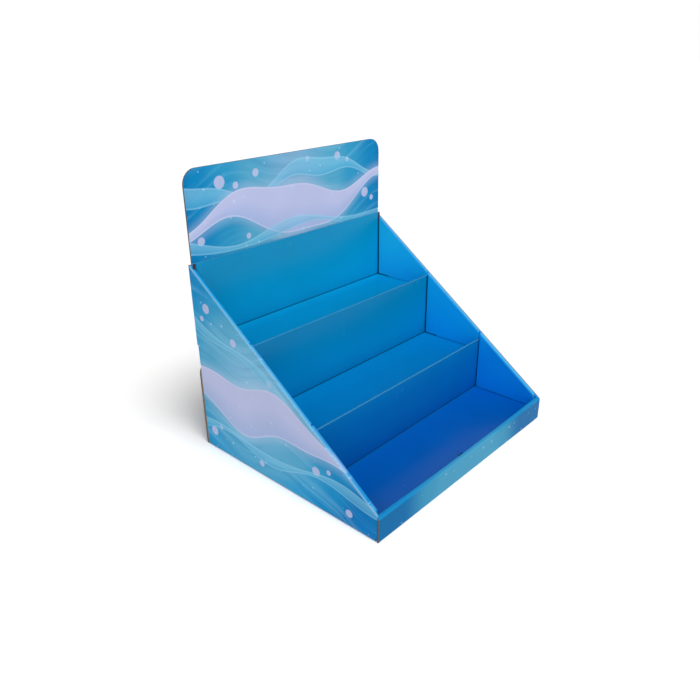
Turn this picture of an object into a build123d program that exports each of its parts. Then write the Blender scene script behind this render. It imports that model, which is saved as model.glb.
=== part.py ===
from build123d import *
import math
import os

# A three tier counter display stand of folded corrugated card.
# Millimetres, +Z up, the front lip faces -Y. The origin lies on the ground, under the
# middle of the stand. Every piece is one sheet, cut flat and folded up.

# Board and play
board = 1.8                # thickness of the corrugated card
fold_slack = 0.3           # inside radius of a fold
fit = 0.2                  # clearance between sheets that lie face to face
end_play = 1.0             # clearance at the end of a sheet that slides into place
tab_play = 0.3             # slot edge to tab, all round

# Tray
width = 280.0              # outside, left to right
lip_height = 26.8
side_height = 199.0        # a side at the back
back_wall_height = 96.0
back_wall_corner = 14.0
corner_flap = 32.0         # length of the flaps tucked into the lip
rear_flap = 34.0           # length of the flaps folded round the back of each side
upper_flap_bottom = 116.0
flap_slant = 5.0           # how much lower a rear flap gets toward its free edge
notch_depth = 1.2          # a side's raw back edge, between its two rear flaps
lip_tab = 44.0
flap_tab = 26.0

# Rolled edge of a side: the space between outer wall and inner flap, for each tier
front_roll_space = 1.5
middle_roll_space = 0.9
back_roll_space = 0.3
roll_gap = 1.0             # open slot in front of each wall's edge

# Tiers, named by the wall that stands behind them
tier_depth = 75.2
front_floor = 16.2         # top faces of the floors
middle_floor = 63.8
back_floor = 122.5
front_wall_top = 78.0
middle_wall_top = 138.6
back_wall_top = 199.0
skirt_drop = 11.0          # strip folded down along both ends of a floor
relief_length = 17.5       # open cut at the back end of a skirt's fold
relief_width = 1.3
leg_relief = 3.0           # the same cut at the front end
thumb_radius = 4.5         # thumb notch in the front floor
thumb_reach = 8.1

# Header card
header_top = 288.0
header_corner = 15.0

# What follows from the sizes above
fold_radius = fold_slack + board / 2
fold_outside = fold_slack + board
lip_depth = 3 * board + fit
depth = lip_depth + 3 * tier_depth + 5 * board + 2 * fit
front = -depth / 2
back = depth / 2
left = -width / 2
side_front = front + board + fit
lip_inside = front + lip_depth
front_wall_face = lip_inside + tier_depth
middle_wall_face = front_wall_face + board + tier_depth
back_wall_face = middle_wall_face + board + tier_depth
header_face = back_wall_face + board + fit
rear_layer = back - board
edge_slope = (side_height - lip_height) / (rear_layer - front)
wall_width = width - 2 * (board + fit)


def edge_height(y):
    """Height of a side's sloping edge."""
    return lip_height + edge_slope * (y - front)


def folded(*points):
    """Edge view of a sheet that follows the points, with a round fold at each."""
    return trace(FilletPolyline(*points, radius=fold_radius), line_width=board)


def block(x0, x1, y0, y1, z0, z1):
    """A straight block between two corners."""
    return Pos((x0 + x1) / 2, (y0 + y1) / 2, (z0 + z1) / 2) * Box(x1 - x0, y1 - y0, z1 - z0)


def along_x(profile, x0, x1):
    """Push a (y, z) profile from x0 to x1."""
    return Pos(x0, 0, 0) * extrude(Plane.YZ * profile, x1 - x0)


def along_y(profile, y0, y1):
    """Push an (x, z) profile from y0 to y1."""
    return Pos(0, y1, 0) * extrude(Plane.XZ * profile, y1 - y0)


def along_z(profile, z0, z1):
    """Push an (x, y) profile from z0 to z1."""
    return Pos(0, 0, z0) * extrude(Plane.XY * profile, z1 - z0)


def both_sides(piece):
    """The piece and its mirror image on the right."""
    return piece + mirror(piece, Plane.YZ)


def under_edge(y0, y1, z0, drop=0.0):
    """The (y, z) area under a side's sloping edge."""
    return make_face(Polyline(
        (y0, z0), (y1, z0), (y1, edge_height(y1) - drop), (y0, edge_height(y0) - drop), close=True))


def creased(y0, y1, thickness):
    """A length of the left side, with its sloping edge rounded like a crease."""
    piece = along_x(under_edge(y0, y1, fold_outside), left, left + thickness)
    top = piece.faces().filter_by(lambda f: f.normal_at().Z > 0.3)[0]
    creases = top.edges().filter_by(lambda e: abs((e @ 1).Y - (e @ 0).Y) > 0.1).sort_by(Axis.X)
    if thickness == board:
        creases = creases[:1]
    return fillet(creases, fold_radius)


def side_thickness(roll_space):
    """A side's outer wall, the space in its roll, and its inner flap."""
    return 2 * board + roll_space


def rolled_length(y0, y1, roll_space):
    """A length of the left side whose edge rolls over into an inner flap with a base tab."""
    inner = left + side_thickness(roll_space)
    roll_drop = board * math.hypot(1, edge_slope)
    hollow = along_x(under_edge(y0, y1, 0, roll_drop), left + board, inner - board)
    foot = block(inner - board, inner, y0, y1, board + fit, fold_outside)
    middle = (y0 + y1) / 2
    tab = block(inner - board, inner, middle - flap_tab / 2, middle + flap_tab / 2, tab_play, board + fit)
    return creased(y0, y1, inner - left) - hollow + foot + tab


def flap_slot(y0, y1, roll_space):
    """The hole in the base for an inner flap's tab."""
    inner = left + side_thickness(roll_space)
    middle = (y0 + y1) / 2
    reach = flap_tab / 2 + tab_play
    return block(inner - board - tab_play, inner + tab_play, middle - reach, middle + reach, 0, fold_outside)


def tucked_flap(corner_y, toward_back, length):
    """Plan of a flap that folds in from the left side along the layer at corner_y."""
    outward = 1 if toward_back else -1
    start = corner_y - outward * (fold_outside + board)
    middle = corner_y - outward * board / 2
    return folded((left + board / 2, start), (left + board / 2, middle), (left + length, middle))


def slanted(z0, z1, length):
    """The (x, z) outline of a rear flap."""
    return make_face(Polyline(
        (left, z0), (left, z1), (left + fold_outside, z1), (left + length, z1 - flap_slant),
        (left + length, z0 + flap_slant), (left + fold_outside, z0), close=True))


def left_side():
    """The left side of the tray, from its outer wall to its flaps."""
    lengths = [
        (lip_inside + fit, front_wall_face - roll_gap, front_roll_space),
        (front_wall_face + board + fit, middle_wall_face - roll_gap, middle_roll_space),
        (middle_wall_face + board + fit, back_wall_face - roll_gap, back_roll_space),
    ]
    rolls = Part()
    slots = Part()
    wall = Part()
    reached = side_front
    for y0, y1, roll_space in lengths:
        wall += creased(reached, y0, board)
        rolls += rolled_length(y0, y1, roll_space)
        slots += flap_slot(y0, y1, roll_space)
        reached = y1
    wall += creased(reached, rear_layer - fold_slack, board)
    wall += rolls
    front_flap_top = lip_height - board - end_play
    wall -= block(left, left + board, side_front, side_front + fold_outside, 0, front_flap_top)
    wall -= block(left, left + board, rear_layer - fold_outside, rear_layer, 0, back_wall_height)
    wall -= block(left, left + board, rear_layer - notch_depth, rear_layer, 0, upper_flap_bottom)
    front_flap = along_z(tucked_flap(side_front, False, corner_flap), fold_outside, front_flap_top)
    lower_flap = along_z(tucked_flap(rear_layer, True, rear_flap), 0, back_wall_height)
    lower_flap &= along_y(slanted(fold_outside, back_wall_height, rear_flap), front, back)
    upper_top = edge_height(rear_layer - fold_slack)
    upper_flap = along_z(tucked_flap(back, True, rear_flap), 0, upper_top)
    upper_flap &= along_y(slanted(upper_flap_bottom, upper_top, rear_flap), front, back)
    return wall + front_flap + lower_flap + upper_flap, slots


def make_tray():
    """Base, lip, sides and low back wall, folded from one sheet."""
    side, slots = left_side()
    base = along_y(folded(
        (left + board / 2, 2 * fold_outside), (left + board / 2, board / 2),
        (-left - board / 2, board / 2), (-left - board / 2, 2 * fold_outside)),
        side_front + fold_outside, rear_layer - fold_outside)
    base = base & block(left, -left, front, back, 0, fold_outside)
    lip = along_x(folded(
        (lip_inside - board / 2, board + fit), (lip_inside - board / 2, lip_height - board / 2),
        (front + board / 2, lip_height - board / 2), (front + board / 2, board / 2),
        (lip_inside + lip_depth, board / 2)), left, -left)
    back_wall = along_x(folded(
        (back - board / 2, back_wall_height), (back - board / 2, board / 2),
        (back - lip_depth, board / 2)), left, -left)
    corners = back_wall.edges().filter_by(Axis.Y).group_by(Axis.Z)[-1]
    back_wall = fillet(corners, back_wall_corner)
    beside_lip = block(left, left + board + fold_slack, front + board, front + 3 * lip_depth, 0, lip_height)
    beside_back = block(left, left + fold_outside, back - 3 * lip_depth, rear_layer, 0, back_wall_height)
    lip -= both_sides(beside_lip)
    back_wall -= both_sides(beside_back)
    lip_tongue = block(-lip_tab / 2, lip_tab / 2, lip_inside - board, lip_inside, tab_play, board + fit)
    lip_slot = block(
        -lip_tab / 2 - tab_play, lip_tab / 2 + tab_play,
        lip_inside - board - tab_play, lip_inside + tab_play, 0, board)
    floor = base + lip + back_wall - lip_slot - both_sides(slots)
    return floor + both_sides(side) + lip_tongue


def make_step(leg_face, wall_face, floor_top, wall_top, roll_space, back_relief):
    """One tier: a leg, a floor with a skirt at each end, and the wall behind it."""
    floor_width = width - 2 * (side_thickness(roll_space) + fit)
    sheet = along_x(folded(
        (leg_face + board / 2, board), (leg_face + board / 2, floor_top - board / 2),
        (wall_face + board / 2, floor_top - board / 2), (wall_face + board / 2, wall_top)),
        relief_width - floor_width / 2, floor_width / 2 - relief_width)
    end = floor_width / 2 - board / 2
    skirts = along_y(folded(
        (-end, floor_top - skirt_drop), (-end, floor_top - board / 2),
        (end, floor_top - board / 2), (end, floor_top - skirt_drop)),
        leg_face + board + leg_relief, wall_face - back_relief)
    wall = block(
        -wall_width / 2, wall_width / 2, wall_face, wall_face + board,
        floor_top + fold_slack, wall_top)
    return sheet + skirts + wall


def make_front_step():
    """The lowest tier, with a thumb notch in the fold behind the lip."""
    leg_face = lip_inside + fit
    step = make_step(leg_face, front_wall_face, front_floor, front_wall_top, front_roll_space, fold_slack)
    centre = lip_inside + thumb_reach - thumb_radius
    bottom = front_floor - thumb_reach
    notch = Pos(0, centre, front_floor) * Cylinder(thumb_radius, 2 * thumb_reach)
    notch += block(-thumb_radius, thumb_radius, leg_face, centre, bottom, front_floor)
    return step - notch


def make_middle_step():
    """The middle tier, standing behind the front tier's wall."""
    leg_face = front_wall_face + board + fit
    return make_step(
        leg_face, middle_wall_face, middle_floor, middle_wall_top, middle_roll_space, relief_length)


def make_back_step():
    """The top tier, with the tall wall in front of the header card."""
    leg_face = middle_wall_face + board + fit
    return make_step(leg_face, back_wall_face, back_floor, back_wall_top, back_roll_space, relief_length)


def make_header_card():
    """A flat card that stands on the base, with a foot between the lower rear flaps."""
    half = width / 2 - board - end_play
    half_foot = width / 2 - rear_flap - end_play
    shoulder = back_wall_height + end_play
    outline = make_face(Polyline(
        (-half_foot, board + fit), (half_foot, board + fit), (half_foot, shoulder), (half, shoulder),
        (half, header_top), (-half, header_top), (-half, shoulder), (-half_foot, shoulder), close=True))
    outline = fillet(outline.vertices().group_by(Axis.Y)[-1], header_corner)
    return along_y(outline, header_face, header_face + board)


pieces = {
    "tray": make_tray(),
    "front_step": make_front_step(),
    "middle_step": make_middle_step(),
    "back_step": make_back_step(),
    "header_card": make_header_card(),
}

os.makedirs("parts", exist_ok=True)
for name, piece in pieces.items():
    piece.label = name
    export_step(piece, f"parts/{name}.step")
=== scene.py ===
import bpy
from math import pi, radians
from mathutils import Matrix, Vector


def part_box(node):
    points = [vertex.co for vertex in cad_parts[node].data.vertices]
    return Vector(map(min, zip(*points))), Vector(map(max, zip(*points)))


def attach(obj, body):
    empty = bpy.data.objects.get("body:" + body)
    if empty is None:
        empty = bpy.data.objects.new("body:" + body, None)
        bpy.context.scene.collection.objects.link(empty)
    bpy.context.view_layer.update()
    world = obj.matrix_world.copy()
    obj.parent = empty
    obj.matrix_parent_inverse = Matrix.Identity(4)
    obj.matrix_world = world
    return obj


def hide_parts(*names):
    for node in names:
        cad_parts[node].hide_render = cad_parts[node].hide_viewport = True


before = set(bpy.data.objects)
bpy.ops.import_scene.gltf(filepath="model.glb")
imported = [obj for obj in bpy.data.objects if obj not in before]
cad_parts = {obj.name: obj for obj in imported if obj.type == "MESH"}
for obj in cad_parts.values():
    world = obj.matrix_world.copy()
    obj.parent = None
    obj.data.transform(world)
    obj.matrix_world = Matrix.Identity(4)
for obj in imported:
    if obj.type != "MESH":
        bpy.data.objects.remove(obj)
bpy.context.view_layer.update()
scene = bpy.context.scene
print("loaded", len(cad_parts), "sheets")

# Sizes of the folded stand, in metres, as the sheets were cut.
stand = {
    "board": 0.0018, "flutePitch": 0.0033, "halfWidth": 0.14, "front": -0.1203,
    "lipHeight": 0.0268, "lipInside": -0.1147, "sideHeight": 0.199, "sideFront": -0.1183,
    "rearLayer": 0.1185, "backWallHeight": 0.096,
}

# The three tiers, one sheet each. The top of its wall moves up by "stretch" and the wall's middle
# comes forward by "bow". "roll" is the gap between a side and its inner flap beside the tier,
# and "slot" is the length of the open cut beside the back of its floor.
tiers = {
    "front_step": {"leg": -0.1145, "wall": -0.0395, "floor": 0.0162, "top": 0.078,
                   "stretch": -0.0018, "bow": 0.0003, "roll": 0.0015, "slot": 0.0},
    "middle_step": {"leg": -0.0375, "wall": 0.0375, "floor": 0.0638, "top": 0.1386,
                    "stretch": -0.0018, "bow": 0.0004, "roll": 0.0009, "slot": 0.0175},
    "back_step": {"leg": 0.0395, "wall": 0.1145, "floor": 0.1225, "top": 0.199,
                  "stretch": 0.0016, "bow": 0.0005, "roll": 0.0003, "slot": 0.0175},
}


def flapInside(tier):  # how far out the inner face of the side flaps stands beside a tier
    return stand["halfWidth"] - 2 * stand["board"] - tier["roll"]


# Small helpers for node trees

def paint(red, green, blue):  # a screen colour, 0 to 255, as the linear colour a socket wants
    def linear(value):
        value /= 255
        return value / 12.92 if value <= 0.04045 else ((value + 0.055) / 1.055) ** 2.4
    return (linear(red), linear(green), linear(blue), 1.0)


def put(tree, value, socket):
    if isinstance(value, bpy.types.NodeSocket):
        tree.links.new(value, socket)
    else:
        socket.default_value = value


def calc(tree, operation, *values):
    node = tree.nodes.new("ShaderNodeMath")
    node.operation = operation
    for value, socket in zip(values, node.inputs):
        put(tree, value, socket)
    return node.outputs[0]


def distance(tree, aside, above):
    return calc(tree, "SQRT", calc(tree, "ADD", calc(tree, "MULTIPLY", aside, aside),
                                   calc(tree, "MULTIPLY", above, above)))


def fade(tree, value, low, high, first=0.0, last=1.0):  # soft step from first to last
    node = tree.nodes.new("ShaderNodeMapRange")
    node.interpolation_type = "SMOOTHSTEP"
    for number, socket in zip((value, low, high, first, last), node.inputs):
        put(tree, number, socket)
    return node.outputs[0]


def shown(tree, value, mark):  # how much of a mark shows: none to its strength over its edge
    return fade(tree, value, *mark["edge"], 0.0, mark["strength"])


def about(tree, value, span, middle, spread):  # varies a little to both sides of the middle
    return fade(tree, value, *span, middle - spread, middle + spread)


def mixed(tree, amount, first, second, kind="MIX"):
    node = tree.nodes.new("ShaderNodeMix")
    node.data_type = "RGBA"
    node.blend_type = kind
    put(tree, amount, node.inputs[0])
    put(tree, first, node.inputs[6])
    put(tree, second, node.inputs[7])
    return node.outputs[2]


def colourRamp(tree, value, stops):
    node = tree.nodes.new("ShaderNodeValToRGB")
    ramp = node.color_ramp
    ramp.interpolation = "EASE"
    ramp.elements[0].position, ramp.elements[0].color = stops[0]
    ramp.elements[1].position, ramp.elements[1].color = stops[-1]
    for place, colour in stops[1:-1]:
        ramp.elements.new(place).color = colour
    put(tree, value, node.inputs[0])
    return node.outputs[0]


def joined(tree, x, y, z=0.0):
    node = tree.nodes.new("ShaderNodeCombineXYZ")
    for value, socket in zip((x, y, z), node.inputs):
        put(tree, value, socket)
    return node.outputs[0]


def noise(tree, vector, scale, detail, roughness):
    node = tree.nodes.new("ShaderNodeTexNoise")
    put(tree, vector, node.inputs["Vector"])
    node.inputs["Scale"].default_value = scale
    node.inputs["Detail"].default_value = detail
    node.inputs["Roughness"].default_value = roughness
    return node.outputs[0]


def stretched(tree, vector, scale):
    node = tree.nodes.new("ShaderNodeMapping")
    put(tree, vector, node.inputs["Vector"])
    node.inputs["Scale"].default_value = scale
    return node.outputs[0]


def bumpy(tree, height, relief, normal=None):
    node = tree.nodes.new("ShaderNodeBump")
    node.inputs["Strength"].default_value = 1.0
    node.inputs["Distance"].default_value = relief
    put(tree, height, node.inputs["Height"])
    if normal is not None:
        put(tree, normal, node.inputs["Normal"])
    return node.outputs[0]


def fluteWave(tree, along):  # the waves of the fluted paper inside the board
    return calc(tree, "SINE", calc(tree, "MULTIPLY", along, 2 * pi / stand["flutePitch"]))


def newMaterial(name):
    material = bpy.data.materials.new(name)
    material.use_nodes = True
    tree = material.node_tree
    where = tree.nodes.new("ShaderNodeTexCoord")
    axes = tree.nodes.new("ShaderNodeSeparateXYZ")
    put(tree, where.outputs["Object"], axes.inputs[0])
    return material, tree, tree.nodes["Principled BSDF"], where, axes.outputs


# Printed board: ink under a gloss varnish, with the flutes faintly showing through.

noiseSpan = (0.2, 0.8)  # nearly all values of a noise lie between these

varnish = {
    "inside": 0.095, "outside": 0.035,  # gloss of steps, flaps and back, and of header, sides and lip
    "roughness": 0.25, "roughnessSpread": 0.03, "rubScale": 30.0, "rubSpan": (0.15, 0.85),
    "mottle": 0.03, "mottleScale": 24.0, "speckle": 0.015, "grainScale": 1400.0,
    "warp": 0.0003, "warpScale": 9.0, "flute": 0.000006, "grain": 0.000004,
}


def finishPrint(tree, shader, where, along, colour, gloss="inside"):
    place = where.outputs["Object"]
    mottle = noise(tree, place, varnish["mottleScale"], detail=3.0, roughness=0.5)
    grain = noise(tree, place, varnish["grainScale"], detail=2.0, roughness=0.6)
    shade = calc(tree, "MULTIPLY", about(tree, mottle, noiseSpan, 1.0, varnish["mottle"]),
                 about(tree, grain, noiseSpan, 1.0, varnish["speckle"]))
    colour = mixed(tree, 1.0, colour, joined(tree, shade, shade, shade), "MULTIPLY")
    put(tree, colour, shader.inputs["Base Color"])
    rub = noise(tree, place, varnish["rubScale"], detail=2.0, roughness=0.5)
    rub = about(tree, rub, varnish["rubSpan"], varnish["roughness"], varnish["roughnessSpread"])
    put(tree, rub, shader.inputs["Roughness"])
    warp = noise(tree, place, varnish["warpScale"], detail=1.0, roughness=0.4)
    normal = bumpy(tree, warp, varnish["warp"])
    normal = bumpy(tree, fluteWave(tree, along), varnish["flute"], normal)
    normal = bumpy(tree, grain, varnish["grain"], normal)
    put(tree, normal, shader.inputs["Normal"])
    shader.inputs["Specular IOR Level"].default_value = varnish[gloss]


# Small round sparkles of many sizes, scattered over a print

sparkleLook = {"scatter": 0.8, "smallest": 0.25, "strength": 0.5}


def sparkled(tree, colour, along, up, look):
    cells = tree.nodes.new("ShaderNodeTexVoronoi")
    cells.voronoi_dimensions = "2D"
    put(tree, joined(tree, along, up), cells.inputs["Vector"])
    cells.inputs["Scale"].default_value = look["scale"]
    cells.inputs["Randomness"].default_value = sparkleLook["scatter"]
    chance = tree.nodes.new("ShaderNodeSeparateColor")
    put(tree, cells.outputs["Color"], chance.inputs[0])
    radius = calc(tree, "ADD", chance.outputs[0], sparkleLook["smallest"])
    radius = calc(tree, "MULTIPLY", radius, look["size"])
    core = calc(tree, "MULTIPLY", radius, 1 - look["soft"])
    dot = fade(tree, cells.outputs["Distance"], radius, core)
    there = calc(tree, "LESS_THAN", chance.outputs[1], look["share"])
    sparkle = calc(tree, "MULTIPLY", dot, there)
    return mixed(tree, calc(tree, "MULTIPLY", sparkle, sparkleLook["strength"]), colour, look["colour"])


# The print of the header card and the sides: a soft glow, fine strokes, beads and ribbons

lilac = paint(184, 190, 224)
lilacLook = {"strength": 1.0, "halo": 0.22, "colour": lilac,
             "shade": paint(164, 180, 219), "rim": paint(198, 206, 232)}
blueLook = {"strength": 0.55, "halo": 0.0, "colour": paint(122, 194, 224),
            "shade": paint(84, 172, 212), "rim": paint(168, 216, 236)}
strokeLook = {"along": 7.0, "across": 120.0, "light": paint(150, 208, 232), "lightEdge": (0.50, 0.68),
              "dark": paint(0, 104, 168), "darkEdge": (0.48, 0.32)}
beadLook = {"soft": 0.0003, "strength": 0.85, "colour": lilac}
ribbonLook = {"haloEdge": (0.011, -0.001), "shading": (-1.0, 0.4), "edge": (0.0003, -0.0003),
              "rimInset": 0.0009, "rim": {"edge": (0.0011, 0.0003), "strength": 0.6}}
artSparkle = {"size": 0.10, "soft": 0.8, "share": 0.30, "colour": paint(205, 226, 242)}

headerFlow = {"slope": 0.03, "waves": [(0.012, 0.235, 3.6), (0.004, 0.105, 0.3)]}
headerArt = {
    "glow": {"along": 0.0, "up": 0.245, "radius": 0.142, "squash": 0.35},
    "strokes": 0.16, "sparkle": {"scale": 64.0, **artSparkle},
    "sky": [(0.0, paint(126, 172, 205)), (0.42, paint(82, 163, 197)), (0.63, paint(48, 149, 192)),
            (0.88, paint(12, 129, 184)), (1.0, paint(0, 112, 172))],
    "current": {"height": 0.232, **headerFlow},
    "ribbons": [
        {"height": 0.262, "waves": [(0.010, 0.21, 0.6), (0.004, 0.09, 1.9)], "half": 0.0065,
         "swell": [(0.0035, 0.17, 0.4)], **blueLook},
        {"height": 0.234, **headerFlow, "half": 0.015, "swell": [(0.0105, 0.27, 1.62)], **lilacLook},
        {"height": 0.209, "slope": -0.03, "waves": [(0.007, 0.19, 1.2)], "half": 0.0045,
         "swell": [(0.002, 0.13, 2.4)], **blueLook},
    ],
    "beads": [(-0.097, 0.271, 0.0062), (-0.078, 0.2655, 0.0034), (-0.052, 0.274, 0.0040),
              (0.066, 0.276, 0.0046), (0.082, 0.2705, 0.0026), (0.112, 0.229, 0.0056),
              (0.124, 0.221, 0.0030), (-0.124, 0.219, 0.0042), (-0.066, 0.213, 0.0030),
              (0.020, 0.2785, 0.0028)],
}

sideFlow = {"slope": 0.12, "waves": [(0.010, 0.19, 2.2), (0.003, 0.085, 0.9)]}
sideArt = {
    "glow": {"along": 0.035, "up": 0.085, "radius": 0.165, "squash": 1.0},
    "strokes": 0.20, "sparkle": {"scale": 62.0, **artSparkle},
    "sky": [(0.0, paint(140, 190, 220)), (0.45, paint(86, 166, 203)), (0.58, paint(50, 154, 202)),
            (0.72, paint(18, 140, 197)), (0.88, paint(0, 118, 184)), (1.0, paint(0, 120, 188))],
    "current": {"height": 0.07, **sideFlow},
    "ribbons": [
        {"height": 0.098, "slope": 0.42, "waves": [(0.007, 0.15, 0.2)], "half": 0.0048,
         "swell": [(0.002, 0.12, 1.4)], **blueLook},
        {"height": 0.067, **sideFlow, "half": 0.0105, "swell": [(0.0165, 0.36, 0.785)], **lilacLook},
        {"height": 0.029, "slope": -0.03, "waves": [(0.006, 0.15, 4.1)], "half": 0.0042,
         "swell": [(0.002, 0.11, 0.5)], **blueLook},
    ],
    "beads": [(0.098, 0.160, 0.0050), (0.106, 0.148, 0.0028), (0.060, 0.135, 0.0042),
              (0.012, 0.108, 0.0036), (-0.046, 0.040, 0.0048), (-0.062, 0.046, 0.0026),
              (0.104, 0.022, 0.0052), (0.092, 0.031, 0.0028), (-0.086, 0.014, 0.0040),
              (0.030, 0.014, 0.0034)],
}


def wavyLine(tree, along, line):  # height of a flowing line over the panel
    height = calc(tree, "MULTIPLY_ADD", along, line.get("slope", 0.0), line["height"])
    for size, length, phase in line["waves"]:
        turn = calc(tree, "SINE", calc(tree, "MULTIPLY_ADD", along, 2 * pi / length, phase))
        height = calc(tree, "MULTIPLY_ADD", turn, size, height)
    return height


def glowing(tree, along, up, art):
    glow = art["glow"]
    aside = calc(tree, "SUBTRACT", along, glow["along"])
    above = calc(tree, "MULTIPLY", calc(tree, "SUBTRACT", up, glow["up"]), glow["squash"])
    reach = calc(tree, "DIVIDE", distance(tree, aside, above), glow["radius"])
    return colourRamp(tree, reach, art["sky"])


def stroked(tree, colour, along, up, art):  # thin light and dark strokes that flow with the ribbons
    current = calc(tree, "SUBTRACT", up, wavyLine(tree, along, art["current"]))
    flow = joined(tree, calc(tree, "MULTIPLY", along, strokeLook["along"]),
                  calc(tree, "MULTIPLY", current, strokeLook["across"]))
    strokes = noise(tree, flow, 1.0, detail=2.0, roughness=0.5)
    light = fade(tree, strokes, *strokeLook["lightEdge"], 0.0, art["strokes"])
    colour = mixed(tree, light, colour, strokeLook["light"])
    dark = fade(tree, strokes, *strokeLook["darkEdge"], 0.0, art["strokes"])
    return mixed(tree, dark, colour, strokeLook["dark"])


def beaded(tree, colour, along, up, art):
    for place, height, radius in art["beads"]:
        away = distance(tree, calc(tree, "SUBTRACT", along, place), calc(tree, "SUBTRACT", up, height))
        bead = fade(tree, away, radius + beadLook["soft"], radius - beadLook["soft"])
        bead = calc(tree, "MULTIPLY", bead, beadLook["strength"])
        colour = mixed(tree, bead, colour, beadLook["colour"])
    return colour


def ribboned(tree, colour, along, up, ribbon):
    half = wavyLine(tree, along, {"height": ribbon["half"], "waves": ribbon["swell"]})
    above = calc(tree, "SUBTRACT", up, wavyLine(tree, along, ribbon))
    gap = calc(tree, "SUBTRACT", calc(tree, "ABSOLUTE", above), half)
    halo = fade(tree, gap, *ribbonLook["haloEdge"], 0.0, ribbon["halo"])
    colour = mixed(tree, halo, colour, ribbon["rim"])
    shading = fade(tree, calc(tree, "DIVIDE", above, half), *ribbonLook["shading"])
    tint = mixed(tree, shading, ribbon["shade"], ribbon["colour"])
    fromRim = calc(tree, "ABSOLUTE", calc(tree, "ADD", gap, ribbonLook["rimInset"]))
    tint = mixed(tree, shown(tree, fromRim, ribbonLook["rim"]), tint, ribbon["rim"])
    return mixed(tree, fade(tree, gap, *ribbonLook["edge"], 0.0, ribbon["strength"]), colour, tint)


def flowingArt(tree, along, up, art):
    colour = glowing(tree, along, up, art)
    colour = stroked(tree, colour, along, up, art)
    colour = beaded(tree, colour, along, up, art)
    for ribbon in art["ribbons"]:
        colour = ribboned(tree, colour, along, up, ribbon)
    return sparkled(tree, colour, along, up, art["sparkle"])


def makeHeaderPrint():
    material, tree, shader, where, (x, y, z) = newMaterial("headerPrint")
    finishPrint(tree, shader, where, x, flowingArt(tree, x, z, headerArt), "outside")
    return material


# Sides, with the folds along their sloping edges. "edge" is a distance from the edge's line or
# from the outer face, in metres.

creaseLook = {
    "top": {"colour": paint(22, 136, 202), "edge": (0.0003, 0.0011), "strength": 1.0},
    "bleed": 0.45,  # the left fold's top shows this much of the print
    # painted light on the inner fold: a painted highlight on the right side and a painted shade on the left
    "inner": {"left": paint(6, 122, 184), "right": paint(64, 176, 232),
              "edge": (0.0024, 0.0034), "strength": 0.7},
    # painted highlight along the outer corner of the folds
    "foldHighlight": {"colour": paint(104, 192, 232), "lean": 1.4, "edge": (0.0022, 0.0008), "strength": 0.55},
    "kraft": paint(150, 136, 124),
    "rub": {"depth": 0.0006, "edge": (0.0006, 0.0002), "strength": 0.75,
            "inward": (0.0009, 0.0003), "fray": (0.42, 0.54), "frayScale": 520.0},
    "worn": {"depth": (0.0022, 0.0010), "edge": (0.0028, 0.0018), "strength": 0.85},
}


def belowSlope(tree, y, z):  # how far a point is below the sloping edge of the sides
    slope = (stand["sideHeight"] - stand["lipHeight"]) / (stand["rearLayer"] - stand["front"])
    line = calc(tree, "MULTIPLY_ADD", y, slope, stand["lipHeight"] - slope * stand["front"])
    return calc(tree, "SUBTRACT", line, z)


def makeSidePrint():
    material, tree, shader, where, (x, y, z) = newMaterial("sidePrint")
    colour = flowingArt(tree, y, z, sideArt)
    depth = belowSlope(tree, y, z)
    inward = calc(tree, "SUBTRACT", stand["halfWidth"], calc(tree, "ABSOLUTE", x))
    onLeft = calc(tree, "LESS_THAN", x, 0.0)

    bleed = calc(tree, "MULTIPLY", onLeft, creaseLook["bleed"])
    top = mixed(tree, bleed, creaseLook["top"]["colour"], colour)
    # painted light: a highlight on the right inner fold, shade on the left
    inner = mixed(tree, onLeft, creaseLook["inner"]["right"], creaseLook["inner"]["left"])
    top = mixed(tree, shown(tree, inward, creaseLook["inner"]), top, inner)
    colour = mixed(tree, shown(tree, inward, creaseLook["top"]), colour, top)

    # painted highlight along the fold's corner
    foldHighlight = creaseLook["foldHighlight"]
    corner = calc(tree, "ADD", depth, calc(tree, "MULTIPLY", inward, foldHighlight["lean"]))
    colour = mixed(tree, shown(tree, corner, foldHighlight), colour, foldHighlight["colour"])

    rub = creaseLook["rub"]  # frayed spots along the outer corner of both folds
    rubbed = shown(tree, calc(tree, "ABSOLUTE", calc(tree, "SUBTRACT", depth, rub["depth"])), rub)
    rubbed = calc(tree, "MULTIPLY", rubbed, fade(tree, inward, *rub["inward"]))
    fray = noise(tree, where.outputs["Object"], rub["frayScale"], detail=4.0, roughness=0.7)
    rubbed = calc(tree, "MULTIPLY", fade(tree, fray, *rub["fray"]), rubbed)

    worn = fade(tree, depth, *creaseLook["worn"]["depth"])  # the right fold has lost its ink
    worn = calc(tree, "MULTIPLY", worn, shown(tree, inward, creaseLook["worn"]))
    worn = calc(tree, "MULTIPLY", worn, calc(tree, "GREATER_THAN", x, 0.0))
    colour = mixed(tree, calc(tree, "MAXIMUM", rubbed, worn), colour, creaseLook["kraft"])
    finishPrint(tree, shader, where, y, colour, "outside")
    return material


lipLook = {
    "middleAt": -0.004,
    "shades": [(0.0, paint(66, 146, 180)), (0.30, paint(66, 146, 180)), (0.45, paint(56, 140, 176)),
               (0.74, paint(0, 100, 156)), (1.0, paint(0, 100, 156))],
    "sparkle": {"scale": 62.0, "size": 0.12, "soft": 0.9, "share": 0.36, "colour": paint(190, 218, 232)},
    # partly ink stretched over the lip's top fold, partly a painted highlight along it
    "crease": {"colour": paint(26, 134, 192), "strength": 0.8,
               "edge": (stand["lipHeight"] - 0.0034, stand["lipHeight"] - 0.0012)},
    "inner": {"colour": paint(10, 104, 190), "strength": 1.0,
              "edge": (stand["lipInside"] - 0.0016, stand["lipInside"] - 0.0004)},
}


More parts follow.
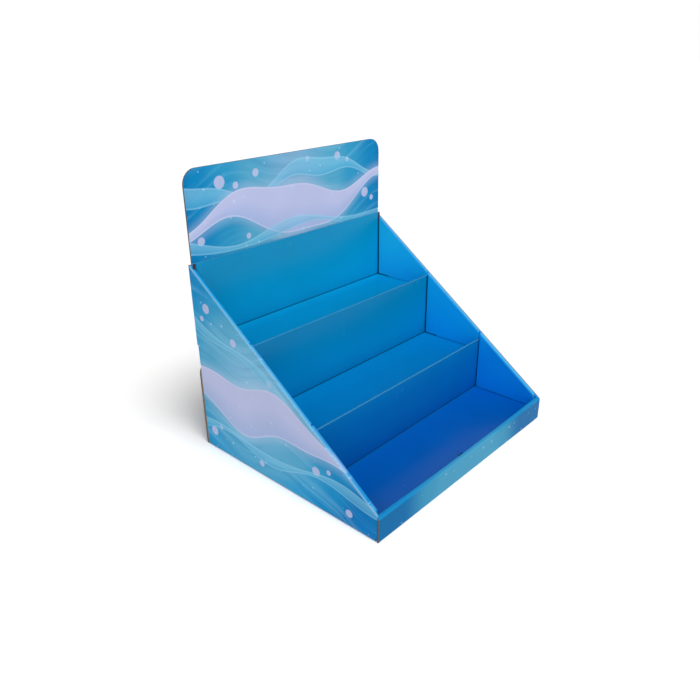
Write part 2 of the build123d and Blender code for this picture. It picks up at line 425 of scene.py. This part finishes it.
def makeLipPrint():
    material, tree, shader, where, (x, y, z) = newMaterial("lipPrint")
    reach = calc(tree, "ABSOLUTE", calc(tree, "SUBTRACT", x, lipLook["middleAt"]))
    colour = colourRamp(tree, calc(tree, "DIVIDE", reach, stand["halfWidth"]), lipLook["shades"])
    colour = sparkled(tree, colour, x, z, lipLook["sparkle"])
    for place, mark in ((z, lipLook["crease"]), (y, lipLook["inner"])):
        colour = mixed(tree, shown(tree, place, mark), colour, mark["colour"])
    finishPrint(tree, shader, where, x, colour, "outside")
    return material


# Inside of the stand: the shades of the steps and the side flaps run from low at the front to
# high at the back, half of the run by height and half by depth.

insideSpan = {"height": 0.2, "depth": 0.24, "start": 0.25}
stepLook = {
    "shades": [(0.07, paint(0, 78, 160)), (0.165, paint(0, 82, 165)), (0.29, paint(1, 100, 175)),
               (0.41, paint(0, 113, 178)), (0.47, paint(0, 118, 180)), (0.53, paint(0, 134, 194)),
               (0.66, paint(0, 124, 176)), (0.75, paint(1, 128, 180)), (0.83, paint(3, 154, 206)),
               (0.97, paint(4, 140, 188))],
    # painted shade: this dark colour is the shade painted into the folds, the gaps at the wall ends and the
    # open cuts
    "dark": paint(0, 56, 94), "onWall": 0.0006,
    "fold": {"edge": (0.0017, 0.0005), "strength": 0.7},
    "wallEnd": {"edge": (0.0011, 0.0005), "strength": 0.55},
    "closing": (0.145, 0.192, 0.5, 1.0),  # two heights, and how much of the line each shows
    # the gap beside the header shows bare liner brown, darkened as painted shade
    "brown": {"colour": paint(66, 40, 40), "edge": (0.184, 0.191), "strength": 1.8},
    "cut": {"edge": (0.0021, 0.0016), "strength": 0.8},
    # painted shade on the left ends of the floors, beside the left side
    "floorEndShade": {"edge": (-0.098, -0.134), "strength": 0.28},
    # painted shade: the whole step print grows a little darker towards the left side
    "left": {"colour": paint(0, 66, 116), "edge": (-0.03, -0.125), "strength": 0.07},
}
# The flap shades are lighter and more cyan than the steps': partly their own print, partly painted light on
# faces turned to the light.
flapLook = {
    "shades": [(0.10, paint(4, 138, 238)), (0.25, paint(5, 146, 240)), (0.46, paint(8, 168, 248)),
               (0.66, paint(14, 174, 244)), (0.90, paint(30, 194, 244))],
    # painted shade on the flap below each floor and in the open cuts
    "underFloorShade": {"colour": paint(0, 44, 78), "strength": 0.85, "below": 0.0004},
    # painted highlight along the flap's top fold
    "fold": {"colour": paint(72, 188, 246), "edge": (0.0036, 0.0018), "strength": 0.8},
}
onFloor = 0.0005  # a point this near to a floor's face is on it


def insideShade(tree, y, z, shades):
    back = calc(tree, "MULTIPLY_ADD", y, 0.5 / insideSpan["depth"], insideSpan["start"])
    return colourRamp(tree, calc(tree, "MULTIPLY_ADD", z, 0.5 / insideSpan["height"], back), shades)


def besideCut(tree, y, tier):  # the stretch of a floor that has the open cut beside it
    return calc(tree, "COMPARE", y, tier["wall"] - tier["slot"] / 2, tier["slot"] / 2)


def nearEnd(tree, out, tier, mark):  # a mark along the end of a sheet, where it meets the flap
    end = flapInside(tier)
    edge = [end - inset for inset in mark["edge"]]
    return shown(tree, out, {"edge": edge, "strength": mark["strength"]})


# Painted shade on the steps: thin dark lines in the folds, in the gaps where the walls end at the flaps,
# and along the open cuts.
def makeStepPrint():  # thin dark lines along folds, ends and cuts
    material, tree, shader, where, (x, y, z) = newMaterial("stepPrint")
    colour = insideShade(tree, y, z, stepLook["shades"])
    out = calc(tree, "ABSOLUTE", x)
    for nodeName, tier in tiers.items():
        fromFold = distance(tree, calc(tree, "SUBTRACT", y, tier["wall"]),
                            calc(tree, "SUBTRACT", z, tier["floor"]))
        dark = shown(tree, fromFold, stepLook["fold"])
        endLine = calc(tree, "MULTIPLY", calc(tree, "COMPARE", y, tier["wall"], stepLook["onWall"]),
                       nearEnd(tree, out, tier, stepLook["wallEnd"]))
        if nodeName == "back_step":  # beside the header the gap is brown, and it closes lower down
            endLine = calc(tree, "MULTIPLY", endLine, fade(tree, z, *stepLook["closing"]))
            # bare liner in the gap, painted darker as shade
            brown = calc(tree, "MULTIPLY", endLine, shown(tree, z, stepLook["brown"]))
        dark = calc(tree, "MAXIMUM", dark, endLine)
        if tier["slot"]:
            cut = calc(tree, "MULTIPLY", besideCut(tree, y, tier),
                       nearEnd(tree, out, tier, stepLook["cut"]))
            dark = calc(tree, "MAXIMUM", dark, cut)
        # painted shade: the floors darken towards their left ends, beside the left side
        floorEndShade = calc(tree, "MULTIPLY", calc(tree, "COMPARE", z, tier["floor"], onFloor),
                        shown(tree, x, stepLook["floorEndShade"]))
        dark = calc(tree, "MAXIMUM", dark, floorEndShade)
        colour = mixed(tree, dark, colour, stepLook["dark"])
    colour = mixed(tree, brown, colour, stepLook["brown"]["colour"])
    # painted shade: darker towards the left side
    colour = mixed(tree, shown(tree, x, stepLook["left"]), colour, stepLook["left"]["colour"])
    finishPrint(tree, shader, where, x, colour)
    return material


def makeFlapPrint():  # darker where a floor covers the flap
    material, tree, shader, where, (x, y, z) = newMaterial("flapPrint")
    colour = insideShade(tree, y, z, flapLook["shades"])
    # painted shade: the flap is darkened below each floor and beside the open cuts, where it lies in shade
    underFloorShade = flapLook["underFloorShade"]
    for tier in tiers.values():
        under = calc(tree, "LESS_THAN", z, tier["floor"] - underFloorShade["below"])
        under = calc(tree, "MULTIPLY", under, calc(tree, "GREATER_THAN", y, tier["leg"]))
        under = calc(tree, "MULTIPLY", under, calc(tree, "LESS_THAN", y, tier["wall"] + stand["board"]))
        if tier["slot"]:
            cut = calc(tree, "MULTIPLY", besideCut(tree, y, tier),
                       calc(tree, "COMPARE", z, tier["floor"], onFloor))
            under = calc(tree, "MAXIMUM", under, cut)
        under = calc(tree, "MULTIPLY", under, underFloorShade["strength"])
        colour = mixed(tree, under, colour, underFloorShade["colour"])
    # painted highlight along the top fold
    fold = shown(tree, belowSlope(tree, y, z), flapLook["fold"])
    colour = mixed(tree, fold, colour, flapLook["fold"]["colour"])
    finishPrint(tree, shader, where, y, colour)
    return material


rearLook = [(0.0, paint(40, 138, 190)), (0.5, paint(70, 160, 205)), (1.0, paint(22, 130, 192))]


def makeRearPrint():
    material, tree, shader, where, (x, y, z) = newMaterial("rearPrint")
    colour = colourRamp(tree, calc(tree, "DIVIDE", z, stand["sideHeight"]), rearLook)
    finishPrint(tree, shader, where, x, colour)
    return material


# Bare board: the brown liner inside and the cut edges

paperLook = {
    "fibre": [(0.3, paint(168, 132, 95)), (0.66, paint(184, 148, 109))],
    "fibreScale": 1500.0, "fibreStretch": (1.0, 1.0, 0.4), "fibreRelief": 0.00004,
    "cloud": {"colour": paint(156, 120, 86), "edge": (0.3, 0.7), "strength": 0.14},
    "cloudScale": 38.0, "roughness": (0.78, 0.9), "flute": 0.00003,
    "fleck": {"colour": paint(122, 92, 66), "edge": (0.70, 0.78), "strength": 0.35},
    "fleckScale": 620.0, "fleckStretch": (1.0, 1.0, 0.5),
}


def makeLinerPaper():
    material, tree, shader, where, (x, y, z) = newMaterial("linerPaper")
    place = where.outputs["Object"]
    cloud = noise(tree, place, paperLook["cloudScale"], detail=4.0, roughness=0.6)
    fibre = noise(tree, stretched(tree, place, paperLook["fibreStretch"]), paperLook["fibreScale"],
                  detail=4.0, roughness=0.7)
    fleck = noise(tree, stretched(tree, place, paperLook["fleckStretch"]), paperLook["fleckScale"],
                  detail=2.0, roughness=0.5)
    colour = colourRamp(tree, fibre, paperLook["fibre"])
    for value, mark in ((cloud, paperLook["cloud"]), (fleck, paperLook["fleck"])):
        colour = mixed(tree, shown(tree, value, mark), colour, mark["colour"])
    put(tree, colour, shader.inputs["Base Color"])
    roughness = fade(tree, cloud, *noiseSpan, *paperLook["roughness"])
    put(tree, roughness, shader.inputs["Roughness"])
    normal = bumpy(tree, fluteWave(tree, x), paperLook["flute"])
    put(tree, bumpy(tree, fibre, paperLook["fibreRelief"], normal), shader.inputs["Normal"])
    return material


edgeColours = {
    # the darkest colour of each edge is painted shade in the hollows between the flutes
    "rawEdge": {"dark": paint(96, 88, 80), "light": paint(136, 126, 114), "hollow": paint(56, 52, 50)},
    "tintedEdge": {"dark": paint(40, 142, 188), "light": paint(92, 176, 212), "hollow": paint(8, 112, 162)},
}
edgeLook = {
    "middle": 0.5, "wave": 0.32, "medium": (0.16, 0.08), "liner": (0.32, 0.40),  # shares of the board
    "fuzzScale": 1500.0, "fuzzSpan": (0.3, 0.7), "fuzzRelief": 0.00008, "relief": 0.0003, "roughness": 0.88,
}


def makeCutEdge(name):  # two liners with the fluted medium between them
    look = edgeColours[name]
    material, tree, shader, where, axes = newMaterial(name)
    uv = tree.nodes.new("ShaderNodeSeparateXYZ")
    put(tree, where.outputs["UV"], uv.inputs[0])
    along, across = uv.outputs[0], uv.outputs[1]
    wave = calc(tree, "MULTIPLY_ADD", fluteWave(tree, along), edgeLook["wave"], edgeLook["middle"])
    fromMedium = calc(tree, "ABSOLUTE", calc(tree, "SUBTRACT", across, wave))
    fromMiddle = calc(tree, "ABSOLUTE", calc(tree, "SUBTRACT", across, edgeLook["middle"]))
    solid = calc(tree, "MAXIMUM", fade(tree, fromMedium, *edgeLook["medium"]),
                 fade(tree, fromMiddle, *edgeLook["liner"]))
    fuzz = noise(tree, where.outputs["Object"], edgeLook["fuzzScale"], detail=3.0, roughness=0.7)
    colour = mixed(tree, fade(tree, fuzz, *edgeLook["fuzzSpan"]), look["dark"], look["light"])
    # painted shade in the hollows between the flutes
    colour = mixed(tree, solid, look["hollow"], colour)
    put(tree, colour, shader.inputs["Base Color"])
    shader.inputs["Roughness"].default_value = edgeLook["roughness"]
    normal = bumpy(tree, solid, edgeLook["relief"])
    put(tree, bumpy(tree, fuzz, edgeLook["fuzzRelief"], normal), shader.inputs["Normal"])
    return material


finishes = {
    "headerPrint": makeHeaderPrint(), "sidePrint": makeSidePrint(), "lipPrint": makeLipPrint(),
    "stepPrint": makeStepPrint(), "flapPrint": makeFlapPrint(), "rearPrint": makeRearPrint(),
    "linerPaper": makeLinerPaper(), "rawEdge": makeCutEdge("rawEdge"),
    "tintedEdge": makeCutEdge("tintedEdge"),
}
print("finishes ready:", ", ".join(finishes))


# Each sheet is a copy of its solid, merged and cut into a grid, so that it can bow a little
# and carry its own print, bare liner and raw edges.

sheetLook = {"merge": 0.000002, "flatAngle": 0.4, "smoothAngle": 36}

squareOn = 0.9  # a normal that reaches this along an axis faces that way
level = 0.99  # the same for what lies truly flat
leaning = 0.2  # past this a face leans over a fold
touch = 0.0001  # slack when a face is told by its place


def selectOnly(piece):
    bpy.ops.object.select_all(action="DESELECT")
    piece.select_set(True)
    bpy.context.view_layer.objects.active = piece


def sheetCopy(nodeName, pieceName, grid):
    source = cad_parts[nodeName]
    piece = bpy.data.objects.new(pieceName, source.data.copy())
    piece.data.name = pieceName
    scene.collection.objects.link(piece)
    selectOnly(piece)
    if piece.data.has_custom_normals:
        bpy.ops.mesh.customdata_custom_splitnormals_clear()
    bpy.ops.object.mode_set(mode="EDIT")
    bpy.ops.mesh.select_mode(type="FACE")
    bpy.ops.mesh.select_all(action="SELECT")
    bpy.ops.mesh.remove_doubles(threshold=sheetLook["merge"])
    bpy.ops.mesh.dissolve_limited(angle_limit=radians(sheetLook["flatAngle"]))
    low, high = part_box(nodeName)
    for axis, spacing in enumerate(grid):
        if not spacing:
            continue
        direction = [0.0, 0.0, 0.0]
        direction[axis] = 1.0
        count = int((high[axis] - low[axis]) / spacing)
        for step in range(1, count + 1):
            spot = [0.0, 0.0, 0.0]
            spot[axis] = low[axis] + (high[axis] - low[axis]) * step / (count + 1)
            bpy.ops.mesh.select_all(action="SELECT")
            bpy.ops.mesh.bisect(plane_co=spot, plane_no=direction)
    bpy.ops.object.mode_set(mode="OBJECT")
    return piece


def near(value, target, slack=0.00006):
    return abs(value - target) < slack


# finishOf names the finish of a face. edgeOf gives the axis that runs along a cut edge there,
# the axis through the board, and where the board starts on it.
def finishSheet(piece, names, finishOf, edgeOf):
    mesh = piece.data
    mesh.materials.clear()
    for name in names:
        mesh.materials.append(finishes[name])
    while mesh.uv_layers:
        mesh.uv_layers.remove(mesh.uv_layers[0])
    uv = mesh.uv_layers.new(name="edge")
    for face in mesh.polygons:
        face.material_index = names.index(finishOf(face.normal, face.center))
        along, across, start = edgeOf(face.center)
        for corner in face.loop_indices:
            spot = mesh.vertices[mesh.loops[corner].vertex_index].co
            uv.data[corner].uv = (spot[along], (spot[across] - start) / stand["board"])


def smoothSheet(piece):
    selectOnly(piece)
    bpy.ops.object.shade_smooth_by_angle(angle=radians(sheetLook["smoothAngle"]))
    flat = piece.modifiers.new("flatPanels", "WEIGHTED_NORMAL")  # only the folds shade round
    flat.keep_sharp = True


def middleShare(x, reach):  # 1 in the middle of a panel, 0 at its ends
    return max(0.0, 1 - (x / reach) ** 2)


# Steps

stepSheet = {
    "grid": (0.012, 0.0, 0.012), "wallSlack": 0.0002,
    "bowFrom": 0.001, "bowCurve": 1.5,  # a wall bows from this far over its floor, more near its top
}


def dressStep(nodeName, pieceName):
    tier = tiers[nodeName]
    piece = sheetCopy(nodeName, pieceName, stepSheet["grid"])
    board = stand["board"]
    uprights = (tier["leg"], tier["wall"])

    def finishOf(normal, centre):
        if normal.z > squareOn:
            return "stepPrint" if near(centre.z, tier["floor"]) else "tintedEdge"
        if normal.z < -squareOn:
            return "linerPaper" if near(centre.z, tier["floor"] - board) else "tintedEdge"
        if normal.y < -squareOn:
            return "stepPrint" if any(near(centre.y, face) for face in uprights) else "tintedEdge"
        if normal.y > squareOn:
            return "linerPaper" if any(near(centre.y, face + board) for face in uprights) else "tintedEdge"
        if abs(normal.x) > squareOn:
            return "tintedEdge"
        return "stepPrint" if normal.z - normal.y > leaning else "linerPaper"

    def edgeOf(centre):
        if centre.y > tier["wall"] - touch:
            return 0, 1, tier["wall"]
        if centre.z > tier["floor"] - board - touch:
            return 0, 2, tier["floor"] - board
        return 0, 1, tier["leg"]

    finishSheet(piece, ["stepPrint", "linerPaper", "tintedEdge"], finishOf, edgeOf)
    reach = stand["halfWidth"] - board
    rise = tier["top"] - tier["floor"]
    for vertex in piece.data.vertices:
        spot = vertex.co
        onWall = spot.y > tier["wall"] - stepSheet["wallSlack"]
        if onWall and spot.z > tier["floor"] + stepSheet["bowFrom"]:
            height = (spot.z - tier["floor"]) / rise
            spot.y -= tier["bow"] * middleShare(spot.x, reach) * height ** stepSheet["bowCurve"]
            spot.z += tier["stretch"] * height
    smoothSheet(piece)
    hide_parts(nodeName)
    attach(piece, "root")


# Tray

traySheet = {
    "grid": (0.014, 0.014, 0.0),
    "lipSag": 0.0023, "sagFrom": 0.002,  # how far the lip's middle hangs, and from what height up
    "foldBand": 0.0022,  # a round fold reaches this far in from the outside
    "rollBand": 0.0056,  # and a side with its flap this far
    "overBase": 0.0019, "offGround": 0.001, "frontEnd": -0.11,  # heights, and where the sides end
    "tuckSlack": 0.00035, "wallSlack": 0.0002, "wallClear": 0.002,
}


def dressTray():
    piece = sheetCopy("tray", "tray_sheet", traySheet["grid"])
    board = stand["board"]
    half = stand["halfWidth"]
    rear = stand["rearLayer"]
    lipInside = stand["lipInside"]

    def flapFace(y):
        for tier in tiers.values():
            if y < tier["wall"]:
                return flapInside(tier)
        return half - 2 * board

    def outerFold(outward, centre):
        return outward > leaning and abs(centre.x) > half - traySheet["foldBand"]

    def rearFinish(normal, centre, outward):
        if normal.y < -squareOn:
            return "linerPaper"
        if normal.y > squareOn:
            return "rearPrint" if centre.y > rear - touch else "rawEdge"
        lowWall = centre.y > rear and centre.z < stand["backWallHeight"] + traySheet["wallSlack"]
        return "sidePrint" if outerFold(outward, centre) and not lowWall else "rawEdge"

    def lipFinish(normal, centre):
        tucked = abs(centre.x) > half - board - traySheet["tuckSlack"]
        if tucked and centre.y > stand["sideFront"] - touch:
            return "sidePrint"
        if abs(normal.x) > squareOn:
            return "rawEdge"
        insideRoll = (normal.y > squareOn and near(centre.y, stand["front"] + board)
                      or normal.y < -squareOn and near(centre.y, lipInside - board)
                      or normal.z < -squareOn and centre.z > traySheet["offGround"])
        return "linerPaper" if insideRoll else "lipPrint"

    def sideFinish(normal, centre, outward):
        out = abs(centre.x)
        if normal.z > leaning:
            return "sidePrint"
        if normal.z < -leaning:
            return "linerPaper"
        if outward < -squareOn and near(out, flapFace(centre.y), touch):
            return "flapPrint"
        if outward < -squareOn and near(out, half - board):  # seen through the slots
            beforeWall = centre.y < tiers["back_step"]["wall"] - traySheet["wallClear"]
            return "flapPrint" if beforeWall else "linerPaper"
        if abs(normal.y) > squareOn:
            return "sidePrint" if centre.y < traySheet["frontEnd"] else "flapPrint"
        return "sidePrint" if outerFold(outward, centre) else "linerPaper"

    def finishOf(normal, centre):
        outward = normal.x if centre.x > 0 else -normal.x
        inRear = centre.y > rear - board - touch and abs(normal.z) < level or centre.y > rear + touch
        if inRear and centre.z > traySheet["foldBand"]:
            return rearFinish(normal, centre, outward)
        if centre.y < lipInside + touch:
            return lipFinish(normal, centre)
        if normal.z < -squareOn:
            return "rearPrint" if centre.z < touch else "linerPaper"
        if normal.z > level:
            return "linerPaper"
        if abs(centre.x) > half - traySheet["rollBand"] and centre.z > traySheet["overBase"]:
            return sideFinish(normal, centre, outward)
        return "sidePrint" if outerFold(outward, centre) else "rawEdge"

    def edgeOf(centre):
        out = abs(centre.x)
        if centre.y > rear - touch:
            return 0, 1, rear
        if centre.y > rear - board - touch and out < half - board - touch:
            return 0, 1, rear - board
        if centre.y < stand["front"] + board + touch:
            return 0, 1, stand["front"]
        if centre.y < lipInside + touch and out < half - board - touch:
            return 0, 1, lipInside - board
        if out > half - board - touch:
            return 1, 0, half - board if centre.x > 0 else -half
        face = flapFace(centre.y)
        return 1, 0, face if centre.x > 0 else -face - board

    names = ["sidePrint", "lipPrint", "flapPrint", "rearPrint", "linerPaper", "rawEdge"]
    finishSheet(piece, names, finishOf, edgeOf)
    for vertex in piece.data.vertices:
        spot = vertex.co
        if spot.y < lipInside + touch and spot.z > traySheet["sagFrom"]:
            share = middleShare(spot.x, half) * spot.z / stand["lipHeight"]
            spot.z -= traySheet["lipSag"] * share
    smoothSheet(piece)
    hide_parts("tray")
    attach(piece, "root")


# Header card

headerSheet = {"grid": (0.014, 0.0, 0.014)}


def dressHeader():
    low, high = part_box("header_card")
    piece = sheetCopy("header_card", "header_sheet", headerSheet["grid"])

    def finishOf(normal, centre):
        if normal.y < -squareOn:
            return "headerPrint"
        return "linerPaper" if normal.y > squareOn else "rawEdge"

    def edgeOf(centre):
        return 0, 1, low.y

    finishSheet(piece, ["headerPrint", "linerPaper", "rawEdge"], finishOf, edgeOf)
    smoothSheet(piece)
    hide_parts("header_card")
    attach(piece, "root")


stepPieces = {"front_step": "front_tier", "middle_step": "middle_tier", "back_step": "back_tier"}
for node, name in stepPieces.items():
    dressStep(node, name)
    print("dressed", name)
dressTray()
print("dressed the tray")
dressHeader()
print("dressed the header card")


# Stage

stage = {"floor": paint(247, 247, 247), "floorSize": 24.0, "lift": 0.10, "ambient": 0.12}


def seenByEye(tree):  # 1 on rays from the camera, also by way of a mirror or through glass
    path = tree.nodes.new("ShaderNodeLightPath")
    return calc(tree, "MAXIMUM", path.outputs["Is Camera Ray"],
                calc(tree, "MAXIMUM", path.outputs["Is Glossy Ray"], path.outputs["Is Transmission Ray"]))


def makeFloor():
    bpy.ops.object.select_all(action="DESELECT")
    bpy.ops.mesh.primitive_plane_add(size=stage["floorSize"], location=(0.0, 0.0, 0.0))
    floor = bpy.context.active_object
    floor.name = "floor"
    material = bpy.data.materials.new("studioFloor")
    material.use_nodes = True
    tree = material.node_tree
    tree.nodes.clear()
    output = tree.nodes.new("ShaderNodeOutputMaterial")
    diffuse = tree.nodes.new("ShaderNodeBsdfDiffuse")
    diffuse.inputs["Color"].default_value = stage["floor"]
    lift = tree.nodes.new("ShaderNodeEmission")
    put(tree, calc(tree, "MULTIPLY", seenByEye(tree), stage["lift"]), lift.inputs["Strength"])
    both = tree.nodes.new("ShaderNodeAddShader")
    put(tree, diffuse.outputs[0], both.inputs[0])
    put(tree, lift.outputs[0], both.inputs[1])
    put(tree, both.outputs[0], output.inputs["Surface"])
    floor.data.materials.append(material)


def makeWorld():
    world = bpy.data.worlds.new("studio")
    scene.world = world
    world.use_nodes = True
    tree = world.node_tree
    sky = tree.nodes["Background"]
    sky.inputs["Color"].default_value = (1.0, 1.0, 1.0, 1.0)
    put(tree, fade(tree, seenByEye(tree), 0.0, 1.0, stage["ambient"], 1.0), sky.inputs["Strength"])


lamps = {
    "key": {"from": (-0.08, -0.46, 1.0), "softness": 28.0, "strength": 2.7},
    "left": {"from": (-1.0, -0.30, 0.20), "softness": 60.0, "strength": 1.1},
    "front": {"from": (-0.10, -1.0, 0.20), "softness": 60.0, "strength": 0.65},
}


def addLamp(name, look):
    bpy.ops.object.light_add(type="SUN", location=look["from"])
    lamp = bpy.context.active_object
    lamp.name = name
    lamp.data.energy = look["strength"]
    lamp.data.angle = radians(look["softness"])
    lamp.rotation_euler = (-Vector(look["from"])).to_track_quat("-Z", "Y").to_euler()


view = {"place": (-0.48782, -0.40823, 0.39381), "turn": (65.038, 0.500, -47.689),
        "lens": 34.461, "sensor": 36.0}


def addCamera():
    turn = [radians(angle) for angle in view["turn"]]
    bpy.ops.object.camera_add(location=view["place"], rotation=turn)
    camera = bpy.context.active_object
    camera.name = "photoView"
    camera.data.lens = view["lens"]
    camera.data.sensor_width = view["sensor"]
    scene.camera = camera


makeFloor()
makeWorld()
for name, look in lamps.items():
    addLamp(name, look)
addCamera()
scene.view_settings.view_transform = "Standard"
print("stage, lamps and camera are set")
